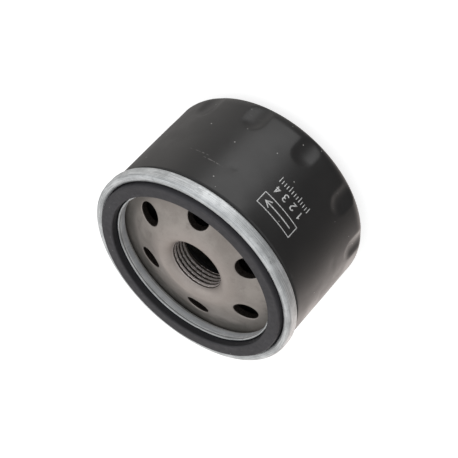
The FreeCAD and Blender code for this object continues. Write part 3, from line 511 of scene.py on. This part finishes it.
LOOKS = {
    "can_paint": can_paint(),
    "zinc_plate": zinc_plate(),
    "plate_steel": plate_steel(),
    "gasket_rubber": gasket_rubber(),
    "valve_rubber": valve_rubber(),
    "sealant": soft_filler("sealant", (0.18, 0.18, 0.17), (0.30, 0.30, 0.29), 2.0, 0.6),
    "tinplate": dull_metal("tinplate", (0.10, 0.098, 0.09), (0.24, 0.235, 0.22)),
    "spring_steel": dull_metal("spring_steel", (0.10, 0.10, 0.105), (0.22, 0.22, 0.225), 3.0),
    "adhesive": soft_filler("adhesive", (0.38, 0.35, 0.29), (0.55, 0.52, 0.45), 1.4, 0.5),
    "filter_paper": filter_paper(),
}

for part in frame["record"]["subparts"]:
    for carried in frame["nodes"][part["node"]].material_slots:
        carried.material = LOOKS[part["material_slot"]]


# ---------------------------------------------------------------- bypass spring

def make_spring():
    """The bypass valve's coil spring between its cage and the disc, copied from the CAD node as it stands.
    """
    piece = bpy.data.objects.new("bypass_coil", frame["nodes"]["bypass_spring"].data.copy())
    piece.data.materials.clear()
    piece.data.materials.append(LOOKS["spring_steel"])
    scene.collection.objects.link(piece)
    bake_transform(piece)
    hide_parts("bypass_spring")


make_spring()


# ---------------------------------------------------------------- the can

# dents and dings pressed in the wall: azimuth, height, depth, half width along and up the wall
DENTS = [
    (53.0, 31.6, 0.22, 1.4, 1.1),
    (47.0, 36.5, 0.07, 2.4, 0.8),
    (96.0, 27.0, 0.05, 2.0, 2.6),
    (-22.0, 22.5, 0.06, 2.2, 1.6),
    (171.0, 30.0, 0.07, 1.8, 1.5),
    (232.0, 24.0, 0.06, 2.6, 1.4),
]


def wall_radius(radius, height, angle, inset=0.0):
    """The can's wall with its flutes, dents and a faint waviness. inset is the sheet's thickness."""
    period = 2 * math.pi / FLUTE_COUNT
    turn = (angle - FLUTE_TURN + period / 2) % period - period / 2
    rise = np.maximum(height - FLUTE_CENTRE, 0)
    hollow = FLUTE_HOLLOW + inset
    inside = hollow ** 2 - (FLUTE_AXIS * np.sin(turn)) ** 2 - rise ** 2
    cut = np.where(inside > 0, FLUTE_AXIS * np.cos(turn) - np.sqrt(np.maximum(inside, 0)), 99.0)
    radius = soft_min(radius, cut, FLUTE_BLEND)
    on_wall = np.clip((radius - CAN_RADIUS + 1.5), 0, 1) * np.clip((42.0 - height) / 2, 0, 1)
    wave = 0.018 * (1 + np.sin(5 * angle + 0.11 * height) * np.sin(3 * angle + 0.16 * height + 1))
    radius = radius - wave * on_wall
    for azimuth, level, depth, along, up in DENTS:
        off = (angle - math.radians(azimuth) + math.pi) % (2 * math.pi) - math.pi
        pressed = np.exp(-(off * CAN_RADIUS / along) ** 2 - ((height - level) / up) ** 2)
        radius = radius - depth * pressed * on_wall
    return radius


def can_shape(outside_rows):
    """Flutes and dents for the outline's first rows as the outside, and for the rest as the inside."""
    def shape(radius, height, angle):
        changed = radius.copy()
        changed[:outside_rows] = wall_radius(radius[:outside_rows], height[:outside_rows], angle)
        changed[outside_rows:] = wall_radius(radius[outside_rows:], height[outside_rows:], angle, CAN_WALL)
        return changed, height
    return shape


def make_can():
    """Outside from the closed end's middle up to the seam's hook, then back down the inside."""
    top = SEAM_TOP - 0.95
    bore = CAN_RADIUS - CAN_WALL
    outline = softened([
        (0, 0, 0),
        (PAD_RADIUS, 0, 1.6),
        (PAD_FOOT, PAD_STEP, 1.6),
        (CAN_RADIUS, PAD_STEP, 6.1),
        (CAN_RADIUS, SEAM_FOOT - 1.3, 0.6),
        (CAN_RADIUS - 0.95, SEAM_FOOT - 0.3, 0.6),
        (CAN_RADIUS - 0.95, top - 0.5, 0.34),
        (CAN_RADIUS - 0.25, top - 0.5, 0.34),
        (CAN_RADIUS - 0.25, SEAM_FOOT + 1.1, 0.1),
        (CAN_RADIUS + 0.25, SEAM_FOOT + 1.1, 0.1),
        (CAN_RADIUS + 0.25, top, 0.84),
        (CAN_RADIUS - 1.45, top, 0.84),
        (CAN_RADIUS - 1.45, SEAM_FOOT - 0.5, 0.5),
        (bore, SEAM_FOOT - 1.6, 0.5),
        (bore, PAD_STEP + CAN_WALL, 5.6),
        (PAD_FOOT, PAD_STEP + CAN_WALL, 1.2),
        (PAD_RADIUS, CAN_WALL, 1.2),
        (0, CAN_WALL, 0),
    ], 6.0)
    outline = divided(outline, 0.6, closed=False)
    highest = int(np.argmax(outline[:, 1]))
    points, faces = turned(outline, CAN_COLUMNS, False, can_shape(highest))
    add_piece("can_skin", [(points, faces)], LOOKS["can_paint"], "can_shell")


# ---------------------------------------------------------------- seam, channel and lip

def nicks(seed, count, low, high):
    """Places of small marks: angle, depth and half width in millimetres."""
    rng = np.random.default_rng(seed)
    turn = 2 * math.pi
    return [(rng.uniform(0, turn), rng.uniform(low, high), rng.uniform(0.5, 1.5)) for _ in range(count)]


def pressed_in(angle, radius, marks):
    """How deep the marks go at each place."""
    total = np.zeros(np.broadcast(angle, radius).shape)
    for at, depth, width in marks:
        off = (angle - at + math.pi) % (2 * math.pi) - math.pi
        total += depth * np.exp(-(off * radius / width) ** 2)
    return total


def seam_shape(radius, height, angle):
    """Rolled seams are never quite round: the outside ripples inwards and carries nicks."""
    outer = np.clip((radius - CAN_RADIUS - 0.45) / 0.35, 0, 1) * np.clip((height - SEAM_FOOT) / 0.6, 0, 1)
    ripple = 0.025 * (1 + np.sin(17 * angle + 0.6)) * 0.5 + 0.02 * (1 + np.sin(7 * angle)) * 0.5
    changed = radius - outer * (ripple + pressed_in(angle, radius, nicks(11, 22, 0.03, 0.10)))
    top = np.clip((height - SEAM_TOP + 0.5) / 0.5, 0, 1)
    top_marks = pressed_in(angle, radius, nicks(5, 18, 0.02, 0.07))
    lowered = height - top * (0.02 * (1 + np.sin(9 * angle + 2)) + top_marks)
    lip = np.clip((height - LIP_TOP + 0.4) / 0.4, 0, 1) * (radius < LIP_OUTSIDE + 0.1)
    lip_marks = pressed_in(angle, radius, nicks(3, 20, 0.02, 0.10))
    return changed, lowered - lip * (0.05 * (1 + np.sin(6 * angle + 1)) + lip_marks)


def make_lid():
    """Round the sheet from under the channel, through the double seam and back over the channel's floor."""
    outline = softened([
        (LIP_INSIDE + 0.02, CHANNEL_FLOOR - LID_GAUGE, 2.2),
        (CHANNEL_OUTER + LID_GAUGE, CHANNEL_FLOOR - LID_GAUGE, 2.2),
        (CHANNEL_OUTER + LID_GAUGE, SEAM_TOP - LID_GAUGE, 0.895),
        (CAN_RADIUS + 0.3, SEAM_TOP - LID_GAUGE, 0.895),
        (CAN_RADIUS + 0.3, SEAM_FOOT + LID_GAUGE, 0.295),
        (CAN_RADIUS - 0.3, SEAM_FOOT + LID_GAUGE, 0.295),
        (CAN_RADIUS - 0.3, SEAM_TOP - 1.95, 0.1),
        (CAN_RADIUS - 0.9, SEAM_TOP - 1.95, 0.1),
        (CAN_RADIUS - 0.9, SEAM_FOOT, 0.895),
        (SEAM_RADIUS, SEAM_FOOT, 0.895),
        (SEAM_RADIUS, SEAM_TOP, 1.495),
        (CHANNEL_OUTER, SEAM_TOP, 1.495),
        (CHANNEL_OUTER, CHANNEL_FLOOR, 1.6),
        (LIP_OUTSIDE, CHANNEL_FLOOR, 1.6),
        (LIP_OUTSIDE, LIP_TOP, 0.25),
        (LIP_INSIDE, LIP_TOP, 0.25),
        (LIP_INSIDE, LIP_TOP - 0.62, 0.12),
        (LIP_INSIDE + 0.20, LIP_TOP - 0.80, 0.10),
        (LIP_INSIDE + 0.02, LIP_TOP - 1.35, 0.30),
    ], 7.5)
    points, faces = turned(divided(outline, 0.5), LID_COLUMNS, True, seam_shape)
    add_piece("seam_and_lip", [(points, faces)], LOOKS["zinc_plate"], "seaming_lid")


# ---------------------------------------------------------------- gasket

def gasket_shape(radius, height, angle):
    """Cut rubber: its edges wander a little and its face carries shallow marks."""
    top = np.clip((height - HEIGHT + 1.2) / 1.2, 0, 1)
    inner = np.clip((GASKET_INSIDE + 1.2 - radius) / 1.2, 0, 1) * top
    outer = np.clip((radius - GASKET_OUTSIDE + 1.2) / 1.2, 0, 1) * top
    wander = 0.06 * (1 + np.sin(11 * angle) * np.sin(4 * angle + 1))
    changed = radius + inner * wander - outer * 0.7 * wander
    face = np.clip((height - HEIGHT + 0.3) / 0.3, 0, 1)
    soft = 0.03 * (1 + np.sin(8 * angle + radius))
    marked = pressed_in(angle, radius, nicks(21, 26, 0.01, 0.07))
    return changed, height - face * (soft + marked * np.abs(np.sin(3 * radius)))


def make_gasket():
    """The square-cut ring that stands in the lid's channel."""
    outline = softened([
        (GASKET_INSIDE, CHANNEL_FLOOR, 1.7),
        (GASKET_OUTSIDE, CHANNEL_FLOOR, 1.7),
        (GASKET_OUTSIDE, HEIGHT, 0.6),
        (GASKET_INSIDE, HEIGHT, 0.7),
    ], 7.5)
    points, faces = turned(divided(outline, 0.3), LID_COLUMNS, True, gasket_shape)
    add_piece("gasket_ring", [(points, faces)], LOOKS["gasket_rubber"], "sealing_gasket")


# ---------------------------------------------------------------- tapping plate

PLATE_COLUMNS = 288
SECTOR_STEPS = PLATE_COLUMNS // OIL_HOLES
SIDE_STEPS = 32


def cone_top(radius):
    """Height of the plate's upper face, with the cone running softly out into the flat rim."""
    return PLATE_RIM_TOP + soft_max((CONE_FOOT - radius) * CONE_SLOPE, np.zeros_like(radius), 0.5)


def cone_under(radius):
    """Height of the plate's under face."""
    rise = soft_max((CONE_UNDER_FOOT - radius) * CONE_SLOPE, np.zeros_like(radius), 0.3)
    return PLATE_RIM_TOP - PLATE_GAUGE + rise


def sector_edge():
    """Points round one sixth of the plate, whose middle is the hole at azimuth 0."""
    outer = PLATE_RADIUS - PLATE_EDGE_ROUND
    half = math.pi / OIL_HOLES
    turn = np.linspace(-half, half, SECTOR_STEPS + 1)[:-1]
    side = np.linspace(outer, MOUTH_EDGE, SIDE_STEPS + 1)[:-1]
    back = np.linspace(half, -half, SECTOR_STEPS + 1)[:-1]
    out = np.linspace(MOUTH_EDGE, outer, SIDE_STEPS + 1)[:-1]
    radius = np.concatenate([np.full_like(turn, outer), side, np.full_like(back, MOUTH_EDGE), out])
    angle = np.concatenate([turn, np.full_like(side, half), back, np.full_like(out, -half)])
    return np.stack([radius * np.cos(angle), radius * np.sin(angle)], -1)


def hole_ring(edge, radius, height_of, drop):
    """Points at one radius round the hole, each on the line to its point of the sector's edge."""
    centre = np.array([OIL_HOLE_CIRCLE, 0.0])
    way = edge - centre
    way = way / np.linalg.norm(way, axis=1)[:, None]
    flat = centre + way * radius
    return np.column_stack([flat, height_of(np.linalg.norm(flat, axis=1)) - drop])


def plate_sector():
    """Top face, rolled edge, wall and under face round one oil hole, out to the sector's edge."""
    edge = sector_edge()
    rings = []
    roll = 0.45
    burr = 0.12
    start = hole_ring(edge, OIL_HOLE_RADIUS + roll, cone_top, 0)
    for share in (1 - np.linspace(0, 1, 15) ** 0.8):
        flat = start[:, :2] + (edge - start[:, :2]) * share
        rings.append(np.column_stack([flat, cone_top(np.linalg.norm(flat, axis=1))]))
    for turn in np.radians(np.linspace(15, 90, 6)):
        radius = OIL_HOLE_RADIUS + roll * (1 - math.sin(turn))
        rings.append(hole_ring(edge, radius, cone_top, roll * (1 - math.cos(turn))))
    low = hole_ring(edge, OIL_HOLE_RADIUS, cone_under, -burr)
    high = rings[-1]
    for share in np.linspace(0, 1, 6)[1:]:
        rings.append(high + (low - high) * share)
    for turn in np.radians(np.linspace(30, 90, 3)):
        radius = OIL_HOLE_RADIUS + burr * (1 - math.cos(turn))
        rings.append(hole_ring(edge, radius, cone_under, -burr * (1 - math.sin(turn))))
    end = rings[-1]
    for share in np.linspace(0, 1, 8)[1:]:
        flat = end[:, :2] + (edge - end[:, :2]) * share
        rings.append(np.column_stack([flat, cone_under(np.linalg.norm(flat, axis=1))]))
    return np.concatenate(rings), grid_faces(len(rings), len(edge))


def thread_shape(radius, height, angle):
    """Cuts the thread's groove into the bore and the start of the mouth: 60 degrees, right-handed."""
    turns = (height - THREAD_START) / THREAD_PITCH - angle / (2 * math.pi)
    off = np.abs(turns - np.round(turns)) * THREAD_PITCH
    flank = THREAD_DEPTH - (off - THREAD_PITCH / 16) / math.tan(math.radians(30))
    depth = soft_min(soft_max(flank, np.zeros_like(flank), 0.09), np.full_like(flank, THREAD_DEPTH), 0.06)
    cut = THREAD_BORE + depth
    inside = (radius < BOSS_RADIUS - 1.9) & (height > BOSS_END - 0.01)
    return np.where(inside, np.maximum(radius, cut), radius), height


def hub_outline():
    """From the mouth's edge down through the thread, round the boss's end and back up under the mouth."""
    r, z = MOUTH_CENTRE
    upper = np.radians(np.linspace(71.1, 120, 26))
    lower = np.radians(np.linspace(120, 180, 62))[1:]
    angles = np.concatenate([upper, lower])
    points = [(MOUTH_EDGE, float(cone_top(np.array([MOUTH_EDGE]))[0]))]
    points += [(r + MOUTH_ROUND * math.cos(a), z + MOUTH_ROUND * math.sin(a)) for a in angles[1:]]
    points += [(THREAD_BORE, h) for h in np.linspace(z, BOSS_END + 0.5, 86)[1:]]
    points += [(THREAD_BORE + 0.5 - s, BOSS_END + s) for s in np.linspace(0.5, 0, 9)[1:]]
    points += [(10.6, BOSS_END), (11.7, BOSS_END), (11.9, BOSS_END + 0.08), (BOSS_RADIUS, BOSS_END + 0.3)]
    points += [(BOSS_RADIUS, h) for h in np.linspace(BOSS_END + 1, z, 5)]
    small = MOUTH_ROUND - PLATE_GAUGE
    under = np.radians(np.linspace(180, 71.1, 12))[1:]
    points += [(r + small * math.cos(a), z + small * math.sin(a)) for a in under]
    points.append((MOUTH_EDGE, float(cone_under(np.array([MOUTH_EDGE]))[0])))
    return np.array(points)


def is_cut(middles):
    """Faces in the oil holes' walls and in the thread's groove."""
    radius = np.hypot(middles[:, 0], middles[:, 1])
    above = np.clip(middles[:, 2] - MOUTH_CENTRE[1], 0, MOUTH_ROUND)
    bore = MOUTH_CENTRE[0] - np.sqrt(MOUTH_ROUND ** 2 - above ** 2)
    in_groove = (radius > bore + 0.02) & (radius < THREAD_BORE + 0.75) & (middles[:, 2] > BOSS_END + 0.02)
    turn = 2 * math.pi / OIL_HOLES
    angle = (np.arctan2(middles[:, 1], middles[:, 0]) + turn / 2) % turn - turn / 2
    from_hole = np.hypot(radius * np.cos(angle) - OIL_HOLE_CIRCLE, radius * np.sin(angle))
    return (from_hole < OIL_HOLE_RADIUS + 0.06) | in_groove


def make_plate():
    """Six sectors round the oil holes, the hub with its thread, and the rounded rim."""
    sector, faces = plate_sector()
    parts = []
    for number in range(OIL_HOLES):
        turn = 2 * math.pi * number / OIL_HOLES
        cos, sin = math.cos(turn), math.sin(turn)
        parts.append((sector @ np.array([[cos, sin, 0], [-sin, cos, 0], [0, 0, 1]]), faces))
    parts.append(turned(hub_outline(), PLATE_COLUMNS, False, thread_shape))
    outer = PLATE_RADIUS - PLATE_EDGE_ROUND
    top = PLATE_RIM_TOP
    foot = top - PLATE_GAUGE
    edge = PLATE_EDGE_ROUND
    rim = [(outer, top)]
    rim += [(outer + edge * math.sin(a), top - edge + edge * math.cos(a)) for a in np.radians((30, 60, 90))]
    rim += [(outer + edge * math.cos(a), foot + edge - edge * math.sin(a)) for a in np.radians((0, 30, 60))]
    rim.append((outer, foot))
    parts.append(turned(np.array(rim), PLATE_COLUMNS, False))
    # the holes' walls and the thread's groove take the dark material with painted shade
    cut = (cut_steel_and_painted_shade(), is_cut)
    add_piece("threaded_plate", parts, LOOKS["plate_steel"], "tapping_plate", cut=cut)


# ---------------------------------------------------------------- tightening marks printed on the can

MARKS_MIDDLE = math.radians(23.0)
INK_SUNK = -0.04
INK_PROUD = 0.02
DIGIT_STROKES = {
    1: [[(0.12, 0.78), (0.42, 1), (0.42, 0)]],
    2: [[(0, 0.76), (0.1, 0.93), (0.35, 1), (0.6, 0.92), (0.68, 0.73), (0.58, 0.5), (0, 0), (0.7, 0)]],
    3: [[(0, 0.86), (0.2, 1), (0.48, 1), (0.66, 0.86), (0.66, 0.66), (0.48, 0.53), (0.26, 0.53)],
        [(0.48, 0.53), (0.68, 0.4), (0.68, 0.16), (0.48, 0), (0.2, 0), (0, 0.14)]],
    4: [[(0.54, 0), (0.54, 1), (0, 0.3), (0.76, 0.3)]],
}


def stroke(line, width, closed=False):
    """A thin slab of ink along a line of (along, height) points, mitred where it turns."""
    line = divided(np.array(line, float), 0.35, closed)
    after = np.roll(line, -1, 0) - line
    before = line - np.roll(line, 1, 0)
    if not closed:
        after[-1] = before[-1]
        before[0] = after[0]
    after /= np.linalg.norm(after, axis=1)[:, None]
    before /= np.linalg.norm(before, axis=1)[:, None]
    mean = after + before
    mean /= np.linalg.norm(mean, axis=1)[:, None]
    stretch = 1 / np.maximum(np.sum(mean * after, axis=1), 0.5)
    side = np.column_stack([-mean[:, 1], mean[:, 0]]) * stretch[:, None] * width / 2
    rows = []
    for flat, proud in (
        (line - side, INK_SUNK),
        (line - side, INK_PROUD),
        (line + side, INK_PROUD),
        (line + side, INK_SUNK),
    ):
        angle = MARKS_MIDDLE + flat[:, 0] / CAN_RADIUS
        radius = wall_radius(np.full(len(flat), CAN_RADIUS), flat[:, 1], angle) + proud
        rows.append(np.column_stack([radius * np.cos(angle), radius * np.sin(angle), flat[:, 1]]))
    points = np.stack(rows, 1).reshape(-1, 3)
    faces = grid_faces(len(line), 4, closed)
    if not closed:
        last = 4 * (len(line) - 1)
        faces = np.concatenate([faces, [[0, 1, 2, 3], [last, last + 1, last + 2, last + 3]]])
    return points, faces


def make_marks():
    """A generic scale for counting quarter turns: a framed arrow, the figures 1 to 4 and a row of ticks."""
    parts = [stroke([(-7.6, 31.4), (7.6, 31.4), (7.6, 36.2), (-7.6, 36.2)], 0.32, True)]
    parts.append(stroke([(-5.9, 33.8), (5.2, 33.8)], 0.42))
    parts.append(stroke([(3.6, 35.1), (5.7, 33.8), (3.6, 32.5)], 0.42))
    for number, start in zip((1, 2, 3, 4), (-5.6, -2.0, 1.6, 5.2)):
        for line in DIGIT_STROKES[number]:
            parts.append(stroke([(start - 0.7 + 2.0 * x, 26.6 + 2.6 * y) for x, y in line], 0.42))
    for number in range(13):
        along = -6.6 + 1.1 * number
        foot = 22.9 if number % 4 == 0 else 23.7
        parts.append(stroke([(along, foot), (along, 25.2)], 0.28))
    add_piece("tightening_marks", parts, marking_ink(), None)


make_can()
make_lid()
make_gasket()
make_plate()
make_marks()


# ---------------------------------------------------------------- camera, light and floor

def add_camera():
    """A long lens above and to one side, rolled until the open end points down and left."""
    back = Vector((0.69437, 0.48308, 0.53331)).normalized()
    up = Vector((-0.06988, 0.78292, -0.61818))
    place = Vector((0.37832, 0.26339, 0.31735))
    right = up.cross(back).normalized()
    up = back.cross(right)
    data = bpy.data.cameras.new("camera")
    data.lens = 129.5
    data.sensor_width = 36.0
    data.clip_start = 0.01
    data.clip_end = 10.0
    camera = bpy.data.objects.new("camera", data)
    turn = Matrix((right, up, back)).transposed().to_4x4()
    camera.matrix_world = Matrix.Translation(place) @ turn
    scene.collection.objects.link(camera)
    scene.camera = camera


def add_lamp(name, place, target, size, power):
    """A round soft lamp that looks at a target."""
    data = bpy.data.lights.new(name, "AREA")
    data.shape = "DISK"
    data.size = size
    data.energy = power
    lamp = bpy.data.objects.new(name, data)
    way = (Vector(target) - Vector(place)).normalized()
    lamp.matrix_world = Matrix.Translation(place) @ way.to_track_quat("-Z", "Y").to_matrix().to_4x4()
    scene.collection.objects.link(lamp)


EVEN_LIGHT = 0.10

# soft studio light from all round: direction, how tightly it is gathered, colour
GLOWS = [
    ((-0.62, 0.58, -0.53), 5.0, (0.61, 0.59, 0.57)),
    ((-0.25, -0.85, -0.45), 5.0, (1.62, 1.46, 1.38)),
    ((-0.62, -0.48, 0.62), 2.5, (0.64, 0.63, 0.62)),
    ((0.40, 0.70, 0.60), 2.0, (0.78, 0.80, 0.82)),
    ((0.62, -0.33, 0.71), 3.0, (0.45, 0.45, 0.45)),
]


def add_world():
    """The glows and a faint even light for the object, and plain white where the camera sees past it."""
    world = bpy.data.worlds.new("studio")
    scene.world = world
    world.use_nodes = True
    tree = world.node_tree

    def step(kind, operation, output, *sources):
        node = tree.nodes.new(kind)
        node.operation = operation
        for socket, source in sources:
            if isinstance(source, bpy.types.NodeSocket):
                tree.links.new(source, node.inputs[socket])
            else:
                node.inputs[socket].default_value = source
        return node.outputs[output]

    way = tree.nodes.new("ShaderNodeTexCoord").outputs["Generated"]
    total = (EVEN_LIGHT, EVEN_LIGHT, EVEN_LIGHT)
    for direction, gather, colour in GLOWS:
        aim = Vector(direction).normalized()
        toward = step("ShaderNodeVectorMath", "DOT_PRODUCT", "Value", (0, way), (1, aim))
        positive = step("ShaderNodeMath", "MAXIMUM", 0, (0, toward), (1, 0.0))
        power = step("ShaderNodeMath", "POWER", 0, (0, positive), (1, gather))
        glow = step("ShaderNodeVectorMath", "SCALE", 0, (0, colour), ("Scale", power))
        total = step("ShaderNodeVectorMath", "ADD", 0, (0, glow), (1, total))
    seen = tree.nodes.new("ShaderNodeLightPath")
    mix = tree.nodes.new("ShaderNodeMix")
    mix.data_type = "RGBA"
    tree.links.new(seen.outputs["Is Camera Ray"], mix.inputs["Factor"])
    tree.links.new(total, mix.inputs[6])
    mix.inputs[7].default_value = (1, 1, 1, 1)
    tree.links.new(mix.outputs[2], tree.nodes["Background"].inputs["Color"])


def add_floor():
    """A plain white sweep, bright enough to stay white round the object."""
    mesh = bpy.data.meshes.new("floor")
    half = 3
    corners = [(-half, -half, 0), (half, -half, 0), (half, half, 0), (-half, half, 0)]
    mesh.from_pydata(corners, [], [(0, 1, 2, 3)])
    material = bpy.data.materials.new("floor")
    material.use_nodes = True
    shader = material.node_tree.nodes["Principled BSDF"]
    shader.inputs["Base Color"].default_value = (0.5, 0.5, 0.5, 1)
    shader.inputs["Roughness"].default_value = 1.0
    shader.inputs["Specular IOR Level"].default_value = 0.0
    shader.inputs["Emission Color"].default_value = (1, 1, 1, 1)
    shader.inputs["Emission Strength"].default_value = 0.80
    mesh.materials.append(material)
    floor = bpy.data.objects.new("floor", mesh)
    floor.visible_glossy = False
    floor.visible_diffuse = False
    floor.visible_shadow = False
    scene.collection.objects.link(floor)


add_camera()
add_lamp("key", (-0.45, 0.35, 0.60), (0, 0, 0.04), 0.60, 0.8)
add_lamp("card", (0.078, 0.126, -0.020), (0.024, 0.030, 0.036), 0.13, 0.063)
add_world()
add_floor()
scene.view_settings.view_transform = "Standard"
